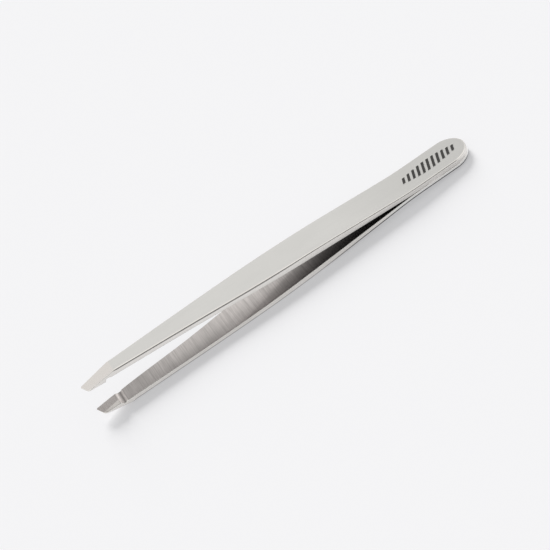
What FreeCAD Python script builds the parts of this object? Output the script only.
import FreeCAD, Part
import Sketcher
import math
import os

# Slant tweezers.  Two mirror-image ground stainless blades, spot-welded face to face at the tail.
#
# Design frame (before placement): X runs from the tail end (0) to the tips, Y across the width,
# Z up, with the plane between the two blades at Z = 0.  Every sub-part is then given the same
# Placement, which lays the tweezers on a level table: it turns them about Y until the tail's
# lower edge and the belly of the lower blade both touch Z = 0, and puts the origin under the
# middle of the whole.
#
# Each blade is elastic.  It is cut once, at its effective flexure line, into a tail piece and an
# arm piece: the arm's rear end is a half-round knuckle, seated in a matching hollow in the tail
# piece, with a running gap all round.

doc = FreeCAD.newDocument("SlantTweezers")

# ---------------------------------------------------------------------------------------------
# Driving dimensions, in millimetres and degrees
# ---------------------------------------------------------------------------------------------
sheet = doc.addObject("Spreadsheet::Sheet", "Dims")
sheet.Label = "Dims"

DIMS = [
    # alias, value, meaning
    ("overall_len", 95.0, "tail end to the long corner of the tips"),
    ("tail_radius", 4.62, "half width of the tail, and radius of its round end"),
    ("straight_end", 42.0, "X where the sides stop being parallel"),
    ("shoulder_radius", 235.0, "plan radius between the parallel sides and the taper"),
    ("long_corner_x", 95.13, "X of the long corner of the tip, before rounding"),
    ("long_corner_y", 1.55, "its distance from the middle, on the -Y side"),
    ("short_corner_x", 93.91, "X of the short corner of the tip, before rounding"),
    ("short_corner_y", 1.63, "its distance from the middle, on the +Y side"),
    ("weld_end", 15.5, "X where the blades part"),
    ("inner_knee_x", 66.0, "X of the slight knee in the inner face"),
    ("inner_knee_z", 2.88, "half gap at the knee"),
    ("groove_rear_x", 88.5, "X where the cross groove behind the pad starts"),
    ("groove_rear_z", 3.58, "half gap there"),
    ("groove_floor_rear_x", 88.85, "rear end of the groove floor"),
    ("groove_floor_front_x", 89.5, "front end of the groove floor"),
    ("groove_floor_z", 3.78, "half gap at the groove floor"),
    ("pad_rear_x", 90.1, "rear edge of the gripping pad"),
    ("pad_rear_z", 3.10, "half gap at the pad's rear edge"),
    ("pad_front_z", 3.344, "half gap at the pad's front edge"),
    ("tail_thick", 1.05, "blade thickness at the tail"),
    ("rise_x", 16.0, "X where the outer face starts to rise"),
    ("grip_x", 38.0, "X of the outer face's knee behind the grip zone"),
    ("grip_z", 2.70, "outer face height there"),
    ("front_x", 66.0, "X of the outer face's knee in front of the grip zone"),
    ("front_z", 4.00, "outer face height there"),
    ("kink_x", 87.2, "X of the kink behind the tip bevel"),
    ("kink_z", 4.72, "outer face height there"),
    ("tip_z", 3.45, "outer face height at overall_len"),
    ("tip_spare", 0.8, "length of the side profile past overall_len, cut away by the slant"),
    ("corner_long", 0.35, "plan radius of the long corner"),
    ("corner_short", 0.9, "plan radius of the short corner"),
    ("hinge_x", 28.0, "X of the effective flexure line"),
    ("hinge_gap", 0.03, "running gap round the knuckle"),
    ("knuckle_spare", 2.0, "length of the arm's strip behind the flexure line, cut away again"),
    ("lip_setback", 0.45, "how far the hollow's lips stop short of the flexure line"),
    ("edge_round", 0.35, "rounding along the outer faces' edges"),
    ("weld_radius", 1.5, "radius of a spot-weld nugget"),
    ("weld_depth", 0.35, "depth of a nugget into each blade"),
    ("weld_one_x", 5.2, "X of the rear nugget"),
    ("weld_two_x", 10.8, "X of the front nugget"),
    ("mark_depth", 0.06, "depth of the etched mark"),
    ("mark_rear_x", 2.75, "X of the centre of the first bar of the mark"),
    ("mark_pitch", 1.24, "distance between bars of the mark"),
    ("mark_bar_w", 0.62, "width of a bar along X"),
    ("mark_bar_half", 1.95, "half height of a bar across Y"),
    ("mark_lean", 0.6, "shift of a bar's end along X, at its half height"),
    ("rest_tilt", 2.573, "angle of the mid plane above the table, tips up"),
    ("rest_shift_x", 47.5055, "distance along X from the tail end to the origin"),
    ("rest_lift", 1.034, "height of the tail's mid plane above the table"),
]
for row, (alias, value, note) in enumerate(DIMS, start=1):
    sheet.set("A%d" % row, note)
    sheet.set("B%d" % row, repr(value))
    sheet.setAlias("B%d" % row, alias)
doc.recompute()


def dim(alias):
    return float(sheet.get(alias))


def cell(alias):
    return "Dims." + alias


# ---------------------------------------------------------------------------------------------
# Helpers
# ---------------------------------------------------------------------------------------------
V = FreeCAD.Vector


def origin_plane(body, role):
    for feature in body.Origin.OriginFeatures:
        if feature.Role == role:
            return feature
    raise RuntimeError("no plane " + role)


def new_body(label):
    body = doc.addObject("PartDesign::Body", label)
    body.Label = label
    return body


def new_sketch(body, name, role):
    sketch = body.newObject("Sketcher::SketchObject", name)
    sketch.AttachmentSupport = [(origin_plane(body, role), "")]
    sketch.MapMode = "FlatFace"
    doc.recompute()
    return sketch


def frame_of(sketch):
    """Signs of the sketch's own axes along the design frame's axes."""
    rotation = sketch.Placement.Rotation
    return rotation.multVec(V(1, 0, 0)), rotation.multVec(V(0, 1, 0))


def pin(sketch, geo, pos, x_expr, y_expr):
    """Fix one sketch point to the sheet: x and y are (expression, value) pairs."""
    for kind, (expr, value) in (("DistanceX", x_expr), ("DistanceY", y_expr)):
        if abs(value) < 1e-9:
            # a point on an axis is held on it
            axis = -2 if kind == "DistanceX" else -1
            sketch.addConstraint(Sketcher.Constraint("PointOnObject", geo, pos, axis))
            continue
        index = sketch.addConstraint(
            Sketcher.Constraint(kind, -1, 1, geo, pos, value)
        )
        sketch.setExpression("Constraints[%d]" % index, expr)


def held_by_x(sketch, geo, pos, x_expr):
    index = sketch.addConstraint(Sketcher.Constraint("DistanceX", -1, 1, geo, pos, x_expr[1]))
    sketch.setExpression("Constraints[%d]" % index, x_expr[0])


def closed_polygon(sketch, points):
    """Closed outline of straight sides; each point is ((expr, value), (expr, value))."""
    count = len(points)
    first = None
    for k in range(count):
        a, b = points[k], points[(k + 1) % count]
        geo = sketch.addGeometry(
            Part.LineSegment(V(a[0][1], a[1][1], 0), V(b[0][1], b[1][1], 0)), False
        )
        first = geo if first is None else first
        pin(sketch, geo, 1, a[0], a[1])
    for k in range(count):
        sketch.addConstraint(
            Sketcher.Constraint(
                "Coincident", first + k, 2, first + (k + 1) % count, 1
            )
        )
    return first


# ---------------------------------------------------------------------------------------------
# Heights of the two faces, as sheet expressions and as numbers
# ---------------------------------------------------------------------------------------------
def line_value(x, x0, z0, x1, z1):
    return z0 + (x - x0) * (z1 - z0) / (x1 - x0)


def inner_at(x):
    return (
        "(({x}) - {a}) * {k} / ({b} - {a})".format(
            x=x[0], a=cell("weld_end"), b=cell("inner_knee_x"), k=cell("inner_knee_z")
        ),
        line_value(x[1], dim("weld_end"), 0.0, dim("inner_knee_x"), dim("inner_knee_z")),
    )


def outer_at(x):
    return (
        "{t} + (({x}) - {a}) * ({k} - {t}) / ({b} - {a})".format(
            x=x[0], a=cell("rise_x"), b=cell("grip_x"), k=cell("grip_z"), t=cell("tail_thick")
        ),
        line_value(x[1], dim("rise_x"), dim("tail_thick"), dim("grip_x"), dim("grip_z")),
    )


HINGE_X = (cell("hinge_x"), dim("hinge_x"))
INNER_HINGE, OUTER_HINGE = inner_at(HINGE_X), outer_at(HINGE_X)
HINGE_Z = ("(%s + %s) / 2" % (INNER_HINGE[0], OUTER_HINGE[0]), (INNER_HINGE[1] + OUTER_HINGE[1]) / 2)
KNUCKLE = ("(%s - (%s)) / 2" % (OUTER_HINGE[0], INNER_HINGE[0]), (OUTER_HINGE[1] - INNER_HINGE[1]) / 2)
LIP_X = (cell("hinge_x") + " - " + cell("lip_setback"), dim("hinge_x") - dim("lip_setback"))
LIP_INNER, LIP_OUTER = inner_at(LIP_X), outer_at(LIP_X)
# the arm's strip is drawn a little past the flexure line, then cut back to the knuckle
SPARE_X = (cell("hinge_x") + " - " + cell("knuckle_spare"), dim("hinge_x") - dim("knuckle_spare"))
SPARE_INNER, SPARE_OUTER = inner_at(SPARE_X), outer_at(SPARE_X)

# the side profile runs a little past the tips: the slanted end is cut in plan
BEYOND_X = (cell("overall_len") + " + " + cell("tip_spare"), dim("overall_len") + dim("tip_spare"))
BEYOND_PAD = (
    "{b} + {e} * ({b} - {a}) / ({d} - {c})".format(
        a=cell("pad_rear_z"), b=cell("pad_front_z"), c=cell("pad_rear_x"), d=cell("overall_len"), e=cell("tip_spare")
    ),
    line_value(BEYOND_X[1], dim("pad_rear_x"), dim("pad_rear_z"), dim("overall_len"), dim("pad_front_z")),
)
BEYOND_TIP = (
    "{b} + {e} * ({b} - {a}) / ({d} - {c})".format(
        a=cell("kink_z"), b=cell("tip_z"), c=cell("kink_x"), d=cell("overall_len"), e=cell("tip_spare")
    ),
    line_value(BEYOND_X[1], dim("kink_x"), dim("kink_z"), dim("overall_len"), dim("tip_z")),
)
# half the height of the hollow's mouth
HOLLOW_HALF = math.sqrt((KNUCKLE[1] + dim("hinge_gap")) ** 2 - dim("lip_setback") ** 2)


def signed(pair, side):
    """The pair as it is for the upper blade, negated for the lower one."""
    return pair if side > 0 else ("-(%s)" % pair[0], -pair[1])


def named(alias):
    return (cell(alias), dim(alias))


ZERO = ("0", 0.0)


def side_sketch(body, name):
    """Sketch on the XZ plane, drawn with X along the blade and its second axis along Z."""
    sketch = new_sketch(body, name, "XZ_Plane")
    ax, ay = frame_of(sketch)
    if ax.x < 0.99 or ay.z < 0.99:
        raise RuntimeError("the side plane's axes are not X and Z")
    return sketch


def tail_profile(body, side):
    """Flat welded root, then the start of the flexing neck, ending in the knuckle's hollow."""
    sketch = side_sketch(body, "TailProfile")
    points = [
        (ZERO, ZERO),
        (named("weld_end"), ZERO),
        (LIP_X, signed(LIP_INNER, side)),
        (LIP_X, signed(("", HINGE_Z[1] - HOLLOW_HALF), side)),
        (LIP_X, signed(("", HINGE_Z[1] + HOLLOW_HALF), side)),
        (LIP_X, signed(LIP_OUTER, side)),
        (named("rise_x"), signed(named("tail_thick"), side)),
        (ZERO, signed(named("tail_thick"), side)),
    ]
    # all sides are straight but the hollow, which is an arc about the flexure line
    geos = []
    for k in range(len(points)):
        a, b = points[k], points[(k + 1) % len(points)]
        if k == 3:
            centre = V(dim("hinge_x"), signed(HINGE_Z, side)[1], 0)
            radius = KNUCKLE[1] + dim("hinge_gap")
            low = math.atan2(-HOLLOW_HALF, -dim("lip_setback")) + 2 * math.pi
            high = math.atan2(HOLLOW_HALF, -dim("lip_setback"))
            circle = Part.Circle(centre, V(0, 0, 1), radius)
            geos.append(sketch.addGeometry(Part.ArcOfCircle(circle, high, low), False))
        else:
            geos.append(
                sketch.addGeometry(
                    Part.LineSegment(V(a[0][1], a[1][1], 0), V(b[0][1], b[1][1], 0)), False
                )
            )
            if k == 4:
                # this end of the hollow's arc is held by its X and by the arc's radius
                held_by_x(sketch, geos[-1], 1, a[0])
            else:
                pin(sketch, geos[-1], 1, a[0], a[1])
    arc = geos[3]
    # the arc runs anticlockwise from its upper end to its lower end, in sketch coordinates
    start_is_next = side > 0
    before, after = (2, 1) if start_is_next else (1, 2)
    for k in range(len(points)):
        nxt = (k + 1) % len(points)
        if k == 3 or nxt == 3:
            continue
        sketch.addConstraint(Sketcher.Constraint("Coincident", geos[k], 2, geos[nxt], 1))
    sketch.addConstraint(Sketcher.Constraint("Coincident", geos[2], 2, arc, before))
    sketch.addConstraint(Sketcher.Constraint("Coincident", arc, after, geos[4], 1))
    held_by_x(sketch, geos[2], 2, LIP_X)
    pin(sketch, arc, 3, named("hinge_x"), signed(HINGE_Z, side))
    index = sketch.addConstraint(
        Sketcher.Constraint("Radius", arc, KNUCKLE[1] + dim("hinge_gap"))
    )
    sketch.setExpression("Constraints[%d]" % index, "(%s) + %s" % (KNUCKLE[0], cell("hinge_gap")))
    return sketch


def arm_profile(body, side):
    """Neck, grip zone, nose, cross groove, gripping pad and tip bevel."""
    sketch = side_sketch(body, "ArmProfile")
    points = [
        (SPARE_X, signed(SPARE_INNER, side)),
        (named("inner_knee_x"), signed(named("inner_knee_z"), side)),
        (named("groove_rear_x"), signed(named("groove_rear_z"), side)),
        (named("groove_floor_rear_x"), signed(named("groove_floor_z"), side)),
        (named("groove_floor_front_x"), signed(named("groove_floor_z"), side)),
        (named("pad_rear_x"), signed(named("pad_rear_z"), side)),
        (BEYOND_X, signed(BEYOND_PAD, side)),
        (BEYOND_X, signed(BEYOND_TIP, side)),
        (named("kink_x"), signed(named("kink_z"), side)),
        (named("front_x"), signed(named("front_z"), side)),
        (named("grip_x"), signed(named("grip_z"), side)),
        (SPARE_X, signed(SPARE_OUTER, side)),
    ]
    closed_polygon(sketch, points)
    return sketch


def knuckle_cut(body, side):
    """Everything behind the knuckle: a block with a half-round bite about the flexure line."""
    sketch = side_sketch(body, "BehindKnuckle")
    x, z, r = dim("hinge_x"), signed(HINGE_Z, side)[1], KNUCKLE[1]
    back, reach = x - dim("knuckle_spare") - 2.0, 3.0
    low = sketch.addGeometry(Part.LineSegment(V(x, z - reach, 0), V(x, z - r, 0)), False)
    bite = sketch.addGeometry(
        Part.ArcOfCircle(Part.Circle(V(x, z, 0), V(0, 0, 1), r), math.pi / 2, 3 * math.pi / 2), False
    )
    high = sketch.addGeometry(Part.LineSegment(V(x, z + r, 0), V(x, z + reach, 0)), False)
    roof = sketch.addGeometry(Part.LineSegment(V(x, z + reach, 0), V(back, z + reach, 0)), False)
    wall = sketch.addGeometry(Part.LineSegment(V(back, z + reach, 0), V(back, z - reach, 0)), False)
    floor = sketch.addGeometry(Part.LineSegment(V(back, z - reach, 0), V(x, z - reach, 0)), False)
    for a, ea, b, eb in (
        (low, 2, bite, 2),
        (bite, 1, high, 1),
        (high, 2, roof, 1),
        (roof, 2, wall, 1),
        (wall, 2, floor, 1),
        (floor, 2, low, 1),
    ):
        sketch.addConstraint(Sketcher.Constraint("Coincident", a, ea, b, eb))
    pin(sketch, bite, 3, HINGE_X, signed(HINGE_Z, side))
    index = sketch.addConstraint(Sketcher.Constraint("Radius", bite, r))
    sketch.setExpression("Constraints[%d]" % index, KNUCKLE[0])
    for geo in (low, high, wall):
        sketch.addConstraint(Sketcher.Constraint("Vertical", geo))
    for geo in (roof, floor):
        sketch.addConstraint(Sketcher.Constraint("Horizontal", geo))
    held_by_x(sketch, low, 2, HINGE_X)
    held_by_x(sketch, high, 1, HINGE_X)
    index = sketch.addConstraint(Sketcher.Constraint("DistanceY", bite, 3, roof, 1, reach))
    index = sketch.addConstraint(Sketcher.Constraint("DistanceY", floor, 2, bite, 3, reach))
    index = sketch.addConstraint(Sketcher.Constraint("DistanceX", wall, 1, bite, 3, x - back))
    return sketch


def outline_cut(body, part):
    """Sketch of everything outside the blade's plan outline, to be pocketed away."""
    sketch = new_sketch(body, "PlanOutline", "XY_Plane")
    ax, ay = frame_of(sketch)
    if ax.x < 0.99 or ay.y < 0.99:
        raise RuntimeError("the plan plane's axes are not X and Y")
    radius = named("tail_radius")
    minus_radius = ("-" + cell("tail_radius"), -dim("tail_radius"))
    # surrounding rectangle, well clear of the blade
    x_low, x_high = (-4.0, 110.0) if part == "arm" else (-4.0, 40.0)
    if part == "arm":
        x_low = 20.0
    frame = [(x_low, -9.0), (x_high, -9.0), (x_high, 9.0), (x_low, 9.0)]
    rect = []
    for k in range(4):
        a, b = frame[k], frame[(k + 1) % 4]
        rect.append(
            sketch.addGeometry(Part.LineSegment(V(a[0], a[1], 0), V(b[0], b[1], 0)), False)
        )
    for k in range(4):
        sketch.addConstraint(
            Sketcher.Constraint("Coincident", rect[k], 2, rect[(k + 1) % 4], 1)
        )
        sketch.addConstraint(Sketcher.Constraint("DistanceX", -1, 1, rect[k], 1, frame[k][0]))
        sketch.addConstraint(Sketcher.Constraint("DistanceY", -1, 1, rect[k], 1, frame[k][1]))
    if part == "tail":
        # round end, two parallel sides, and a closing side beyond the knuckle's hollow
        centre = V(dim("tail_radius"), 0, 0)
        circle = Part.Circle(centre, V(0, 0, 1), dim("tail_radius"))
        arc = sketch.addGeometry(Part.ArcOfCircle(circle, math.pi / 2, 3 * math.pi / 2), False)
        r = dim("tail_radius")
        low = sketch.addGeometry(Part.LineSegment(V(r, -r, 0), V(35.0, -r, 0)), False)
        end = sketch.addGeometry(Part.LineSegment(V(35.0, -r, 0), V(35.0, r, 0)), False)
        top = sketch.addGeometry(Part.LineSegment(V(35.0, r, 0), V(r, r, 0)), False)
        for a, ea, b, eb in (
            (arc, 2, low, 1),
            (low, 2, end, 1),
            (end, 2, top, 1),
            (top, 2, arc, 1),
        ):
            sketch.addConstraint(Sketcher.Constraint("Coincident", a, ea, b, eb))
        pin(sketch, arc, 3, radius, ZERO)
        pin(sketch, low, 1, radius, minus_radius)
        held_by_x(sketch, top, 2, radius)
        sketch.addConstraint(Sketcher.Constraint("Horizontal", low))
        sketch.addConstraint(Sketcher.Constraint("Horizontal", top))
        sketch.addConstraint(Sketcher.Constraint("DistanceX", -1, 1, low, 2, 35.0))
        sketch.addConstraint(Sketcher.Constraint("Vertical", end))
        return sketch
    # arm: parallel sides, a long shoulder arc, a straight taper, and the slanted end, whose two
    # corners are rounded; each taper line aims at the sharp corner it would make with the end
    r = dim("tail_radius")
    rho = dim("shoulder_radius")
    x0 = dim("straight_end")
    sharp = {-1: (dim("long_corner_x"), -dim("long_corner_y")), 1: (dim("short_corner_x"), dim("short_corner_y"))}
    held = {
        -1: ((cell("long_corner_x"), sharp[-1][0]), ("-" + cell("long_corner_y"), sharp[-1][1])),
        1: ((cell("short_corner_x"), sharp[1][0]), (cell("short_corner_y"), sharp[1][1])),
    }

    def shoulder_touch(sign):
        # tangent point on the shoulder circle (centre (x0, sign * (r - rho))) of the line to the sharp corner
        cx, cy = x0, sign * (r - rho)
        px, py = sharp[sign]
        dx, dy = px - cx, py - cy
        dist = math.hypot(dx, dy)
        lean = math.acos(rho / dist)
        angle = math.atan2(dy, dx) + sign * lean
        return cx + rho * math.cos(angle), cy + rho * math.sin(angle), angle

    def corner_arc(sign, radius):
        # circle tangent to the taper line and to the slanted end
        px, py = sharp[sign]
        ox, oy = sharp[-sign]
        tx, ty, _ = shoulder_touch(sign)
        a = V(tx - px, ty - py, 0)
        b = V(ox - px, oy - py, 0)
        a.normalize()
        b.normalize()
        half = math.acos(a.dot(b)) / 2
        back = radius / math.tan(half)
        mid = a + b
        mid.normalize()
        p = V(px, py, 0)
        return p + mid * (radius / math.sin(half)), p + a * back, p + b * back

    def arc_through(centre, radius, start, end):
        # anticlockwise arc from start to end
        a0 = math.atan2(start.y - centre.y, start.x - centre.x)
        a1 = math.atan2(end.y - centre.y, end.x - centre.x)
        if a1 < a0:
            a1 += 2 * math.pi
        return Part.ArcOfCircle(Part.Circle(centre, V(0, 0, 1), radius), a0, a1)

    def line(p, q):
        return sketch.addGeometry(Part.LineSegment(p, q), False)

    def arc(*args):
        return sketch.addGeometry(arc_through(*args), False)

    t_low, t_top = shoulder_touch(-1), shoulder_touch(1)
    low_c, low_a, low_b = corner_arc(-1, dim("corner_long"))
    top_c, top_a, top_b = corner_arc(1, dim("corner_short"))
    low_t, top_t = V(t_low[0], t_low[1], 0), V(t_top[0], t_top[1], 0)
    side_low = line(V(22, -r, 0), V(x0, -r, 0))
    shoulder_low = arc(V(x0, -r + rho, 0), rho, V(x0, -r, 0), low_t)
    taper_low = line(low_t, low_a)
    # the long corner's arc is drawn in two, split where it faces straight along X
    low_m = low_c + V(dim("corner_long"), 0, 0)
    corner_low = arc(low_c, dim("corner_long"), low_a, low_m)
    corner_low_two = sketch.addGeometry(
        Part.ArcOfCircle(
            Part.Circle(low_c, V(0, 0, 1), dim("corner_long")),
            0.0,
            math.atan2(low_b.y - low_c.y, low_b.x - low_c.x),
        ),
        False,
    )
    end = line(low_b, top_b)
    corner_top = arc(top_c, dim("corner_short"), top_b, top_a)
    taper_top = line(top_a, top_t)
    shoulder_top = arc(V(x0, r - rho, 0), rho, top_t, V(x0, r, 0))
    side_top = line(V(x0, r, 0), V(22, r, 0))
    back = line(V(22, r, 0), V(22, -r, 0))
    chain = [side_low, shoulder_low, taper_low, corner_low, corner_low_two, end]
    chain += [corner_top, taper_top, shoulder_top, side_top]
    for a, b in zip(chain, chain[1:]):
        sketch.addConstraint(Sketcher.Constraint("Tangent", a, 2, b, 1))
    sketch.addConstraint(Sketcher.Constraint("Coincident", side_top, 2, back, 1))
    sketch.addConstraint(Sketcher.Constraint("Coincident", back, 2, side_low, 1))
    sketch.addConstraint(Sketcher.Constraint("Horizontal", corner_low, 3, corner_low, 2))
    for sign, geos in ((-1, (taper_low, end)), (1, (taper_top, end))):
        mark = sketch.addGeometry(Part.Point(V(sharp[sign][0], sharp[sign][1], 0)), True)
        pin(sketch, mark, 1, held[sign][0], held[sign][1])
        for geo in geos:
            sketch.addConstraint(Sketcher.Constraint("PointOnObject", mark, 1, geo))
    pin(sketch, side_low, 2, named("straight_end"), minus_radius)
    pin(sketch, side_top, 1, named("straight_end"), radius)
    pin(sketch, side_low, 1, ("22", 22.0), minus_radius)
    pin(sketch, back, 1, ("22", 22.0), radius)
    for geo, alias in (
        (shoulder_low, "shoulder_radius"),
        (shoulder_top, "shoulder_radius"),
        (corner_low, "corner_long"),
        (corner_low_two, "corner_long"),
        (corner_top, "corner_short"),
    ):
        index = sketch.addConstraint(Sketcher.Constraint("Radius", geo, dim(alias)))
        sketch.setExpression("Constraints[%d]" % index, cell(alias))
    return sketch


def check_feature(feature, what):
    if "Invalid" in feature.State or "Error" in feature.State:
        raise RuntimeError(what + " failed: " + str(feature.State))


def make_blade_piece(label, part, side):
    body = new_body(label)
    profile = (tail_profile if part == "tail" else arm_profile)(body, side)
    doc.recompute()
    pad = body.newObject("PartDesign::Pad", "Strip")
    pad.Profile = profile
    pad.Type = "Length"
    pad.Length = 14.0
    pad.SideType = "Symmetric"
    doc.recompute()
    check_feature(pad, label + " pad")
    before = pad.Shape.Volume
    cut = body.newObject("PartDesign::Pocket", "Outline")
    cut.Profile = outline_cut(body, part)
    cut.Type = "ThroughAll"
    cut.SideType = "Symmetric"
    # the two halves of the long corner stay two faces
    cut.Refine = False
    doc.recompute()
    check_feature(cut, label + " outline")
    if not cut.Shape.Volume < 0.9 * before:
        raise RuntimeError(label + ": the outline cut nothing")
    return body, cut


def outer_height(x):
    """Outer face height of the upper blade."""
    knots = [
        (-1.0, dim("tail_thick")),
        (dim("rise_x"), dim("tail_thick")),
        (dim("grip_x"), dim("grip_z")),
        (dim("front_x"), dim("front_z")),
        (dim("kink_x"), dim("kink_z")),
        (dim("overall_len"), dim("tip_z")),
    ]
    for (x0, z0), (x1, z1) in zip(knots, knots[1:]):
        if x <= x1:
            return line_value(x, x0, z0, x1, z1)
    return dim("tip_z")


def round_outer_edges(body, base, side, part):
    """Round the edges between the outer face and the sides, all the way round the outline."""
    names = []
    for k, edge in enumerate(base.Shape.Edges):
        mids = [edge.valueAt(edge.FirstParameter + f * (edge.LastParameter - edge.FirstParameter)) for f in (0.03, 0.5, 0.97)]
        on_outer = all(abs(side * p.z - outer_height(p.x)) < 0.003 for p in mids)
        across = abs(mids[0].x - mids[2].x) < 1e-6 and abs(mids[0].y - mids[2].y) > 2.0
        at_joint = part == "tail" and all(p.x > LIP_X[1] - 0.01 for p in mids)
        at_joint = at_joint or (part == "arm" and all(p.x < SPARE_X[1] + 0.01 for p in mids))
        if on_outer and not across and not at_joint:
            if part == "arm" and all(p.x > dim("kink_x") - 0.01 for p in mids):
                continue
            names.append("Edge%d" % (k + 1))
    fillet = body.newObject("PartDesign::Fillet", "OuterRound")
    fillet.Base = (base, names)
    fillet.Radius = dim("edge_round")
    fillet.setExpression("Radius", cell("edge_round"))
    fillet.Refine = False
    doc.recompute()
    check_feature(fillet, body.Label + " outer round")
    if not fillet.Shape.Volume < base.Shape.Volume:
        raise RuntimeError(body.Label + ": the rounding took nothing off")
    return fillet


def nugget_pockets(body, base, side):
    """Two shallow round seats in the welded face, one for each nugget."""
    sketch = new_sketch(body, "NuggetSeats", "XY_Plane")
    for alias in ("weld_one_x", "weld_two_x"):
        geo = sketch.addGeometry(
            Part.Circle(V(dim(alias), 0, 0), V(0, 0, 1), dim("weld_radius")), False
        )
        pin(sketch, geo, 3, named(alias), ZERO)
        index = sketch.addConstraint(Sketcher.Constraint("Radius", geo, dim("weld_radius")))
        sketch.setExpression("Constraints[%d]" % index, cell("weld_radius"))
    doc.recompute()
    before = base.Shape.Volume
    pocket = body.newObject("PartDesign::Pocket", "NuggetPockets")
    pocket.Profile = sketch
    pocket.Type = "Length"
    pocket.Length = dim("weld_depth")
    pocket.setExpression("Length", cell("weld_depth"))
    # a pocket runs against its sketch's normal, so the upper blade needs it turned round
    pocket.Reversed = side > 0
    doc.recompute()
    check_feature(pocket, body.Label + " nugget pockets")
    taken = before - pocket.Shape.Volume
    wanted = 2 * math.pi * dim("weld_radius") ** 2 * dim("weld_depth")
    if abs(taken - wanted) > 0.01 * wanted:
        raise RuntimeError("%s: nugget pockets took %.3f, not %.3f" % (body.Label, taken, wanted))
    return pocket


BARS = 11


def bar_sketch(body, name, z_expr):
    """Row of leaning bars, drawn on the upper tail's outer face."""
    sketch = new_sketch(body, name, "XY_Plane")
    sketch.AttachmentOffset = FreeCAD.Placement(V(0, 0, z_expr[1]), FreeCAD.Rotation())
    sketch.setExpression(".AttachmentOffset.Base.z", z_expr[0])
    doc.recompute()
    for n in range(BARS):
        x = "(%s + %d * %s)" % (cell("mark_rear_x"), n, cell("mark_pitch"))
        xv = dim("mark_rear_x") + n * dim("mark_pitch")
        half_w = ("%s / 2" % cell("mark_bar_w"), dim("mark_bar_w") / 2)
        # the bars shorten towards both ends of the row
        share = (0.5, 0.66, 0.8, 0.91, 0.98, 1.0, 0.98, 0.91, 0.8, 0.66, 0.5)[n]
        hy = ("%s * %s" % (cell("mark_bar_half"), share), dim("mark_bar_half") * share)
        lean = ("%s * %s" % (cell("mark_lean"), share), dim("mark_lean") * share)
        corners = []
        for sx, sy in ((-1, -1), (1, -1), (1, 1), (-1, 1)):
            corners.append(
                (
                    (
                        "%s + %d * (%s) + %d * (%s)" % (x, sx, half_w[0], sy, lean[0]),
                        xv + sx * half_w[1] + sy * lean[1],
                    ),
                    ("%d * (%s)" % (sy, hy[0]), sy * hy[1]),
                )
            )
        closed_polygon(sketch, corners)
    doc.recompute()
    return sketch


# ---------------------------------------------------------------------------------------------
# The blades
# ---------------------------------------------------------------------------------------------
bodies = {}

for blade, side in (("upper", 1), ("lower", -1)):
    label = blade + "_blade_tail"
    body, tip = make_blade_piece(label, "tail", side)
    tip = round_outer_edges(body, tip, side, "tail")
    tip = nugget_pockets(body, tip, side)
    if side > 0:
        # shallow etched recess for the mark
        before = tip.Shape.Volume
        etch = body.newObject("PartDesign::Pocket", "MarkRecess")
        etch.Profile = bar_sketch(body, "MarkBars", named("tail_thick"))
        etch.Type = "Length"
        etch.Length = dim("mark_depth")
        etch.setExpression("Length", cell("mark_depth"))
        doc.recompute()
        check_feature(etch, label + " mark recess")
        if not etch.Shape.Volume < before - 0.1:
            raise RuntimeError("the mark recess cut nothing")
        tip = etch
    body.Tip = tip
    bodies[label] = body

    label = blade + "_blade_arm"
    body, tip = make_blade_piece(label, "arm", side)
    tip = round_outer_edges(body, tip, side, "arm")
    before = tip.Shape.Volume
    cut = body.newObject("PartDesign::Pocket", "Knuckle")
    cut.Profile = knuckle_cut(body, side)
    cut.Type = "ThroughAll"
    cut.SideType = "Symmetric"
    cut.Refine = False
    doc.recompute()
    check_feature(cut, label + " knuckle")
    if not 5.0 < before - cut.Shape.Volume < 40.0:
        raise RuntimeError("%s: the knuckle cut took %.2f" % (label, before - cut.Shape.Volume))
    tip = cut
    body.Tip = tip
    bodies[label] = body

# ---------------------------------------------------------------------------------------------
# Spot-weld nuggets: two discs of fused metal across the joint between the tails
# ---------------------------------------------------------------------------------------------
weld = new_body("spot_welds")
weld.AllowCompound = True
weld_sketch = new_sketch(weld, "Nuggets", "XY_Plane")
for alias in ("weld_one_x", "weld_two_x"):
    geo = weld_sketch.addGeometry(
        Part.Circle(V(dim(alias), 0, 0), V(0, 0, 1), dim("weld_radius")), False
    )
    pin(weld_sketch, geo, 3, named(alias), ZERO)
    index = weld_sketch.addConstraint(Sketcher.Constraint("Radius", geo, dim("weld_radius")))
    weld_sketch.setExpression("Constraints[%d]" % index, cell("weld_radius"))
doc.recompute()
weld_pad = weld.newObject("PartDesign::Pad", "Nugget")
weld_pad.Profile = weld_sketch
weld_pad.Type = "Length"
weld_pad.SideType = "Symmetric"
weld_pad.Length = 2 * dim("weld_depth")
weld_pad.setExpression("Length", "2 * " + cell("weld_depth"))
doc.recompute()
check_feature(weld_pad, "nugget")
weld.Tip = weld_pad
doc.recompute()

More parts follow.
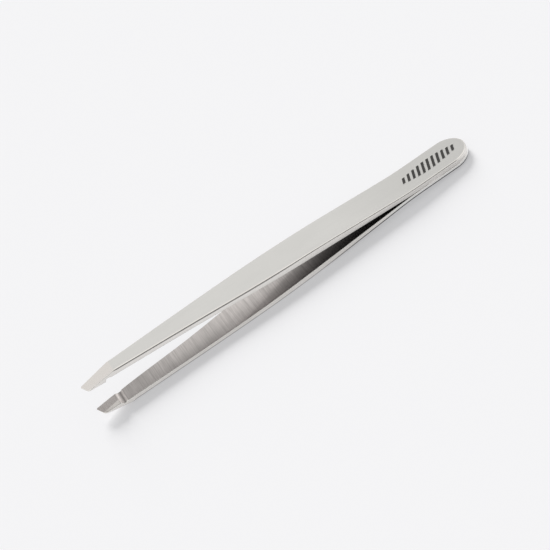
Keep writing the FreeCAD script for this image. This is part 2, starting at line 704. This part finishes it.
# ---------------------------------------------------------------------------------------------
# Black infill of the etched mark
# ---------------------------------------------------------------------------------------------
mark = new_body("tail_mark")
mark.AllowCompound = True
mark_sketch = bar_sketch(
    mark,
    "MarkBars",
    (cell("tail_thick") + " - " + cell("mark_depth"), dim("tail_thick") - dim("mark_depth")),
)
mark_pad = mark.newObject("PartDesign::Pad", "Infill")
mark_pad.Profile = mark_sketch
mark_pad.Type = "Length"
mark_pad.Length = dim("mark_depth")
mark_pad.setExpression("Length", cell("mark_depth"))
doc.recompute()
check_feature(mark_pad, "mark infill")
mark.Tip = mark_pad
doc.recompute()
bodies["spot_welds"] = weld
bodies["tail_mark"] = mark

# ---------------------------------------------------------------------------------------------
# Place the whole on the table, with its origin under its middle
# ---------------------------------------------------------------------------------------------
turn = FreeCAD.Rotation(V(0, 1, 0), -dim("rest_tilt"))
place = FreeCAD.Placement(V(-dim("rest_shift_x"), 0, dim("rest_lift")), turn)
for body in bodies.values():
    body.Placement = place
doc.recompute()

# ---------------------------------------------------------------------------------------------
# Check every object, then write one file for each sub-part
# ---------------------------------------------------------------------------------------------
problems = []
for obj in doc.Objects:
    if "Invalid" in obj.State or "Error" in obj.State:
        problems.append("%s is %s" % (obj.Name, obj.State))
    if obj.TypeId == "Sketcher::SketchObject" and obj.solve() != 0:
        problems.append("%s does not solve" % obj.Name)

SOLIDS = {"spot_welds": 2, "tail_mark": BARS}
lowest, box = 1e9, None
for name, body in bodies.items():
    shape = body.Shape
    if shape.isNull() or not shape.isValid():
        problems.append(name + " has no valid shape")
        continue
    if len(shape.Solids) != SOLIDS.get(name, 1):
        problems.append("%s has %d solids" % (name, len(shape.Solids)))
    box = shape.optimalBoundingBox(False) if box is None else box.united(shape.optimalBoundingBox(False))
if problems:
    raise RuntimeError("; ".join(problems))

os.makedirs("parts", exist_ok=True)
for name, body in bodies.items():
    body.Shape.exportStep("parts/%s.step" % name)
    print("%-18s %9.3f mm3  %d solid(s)" % (name, body.Shape.Volume, len(body.Shape.Solids)))
print("box X %.3f..%.3f  Y %.3f..%.3f  Z %.3f..%.3f" % (box.XMin, box.XMax, box.YMin, box.YMax, box.ZMin, box.ZMax))
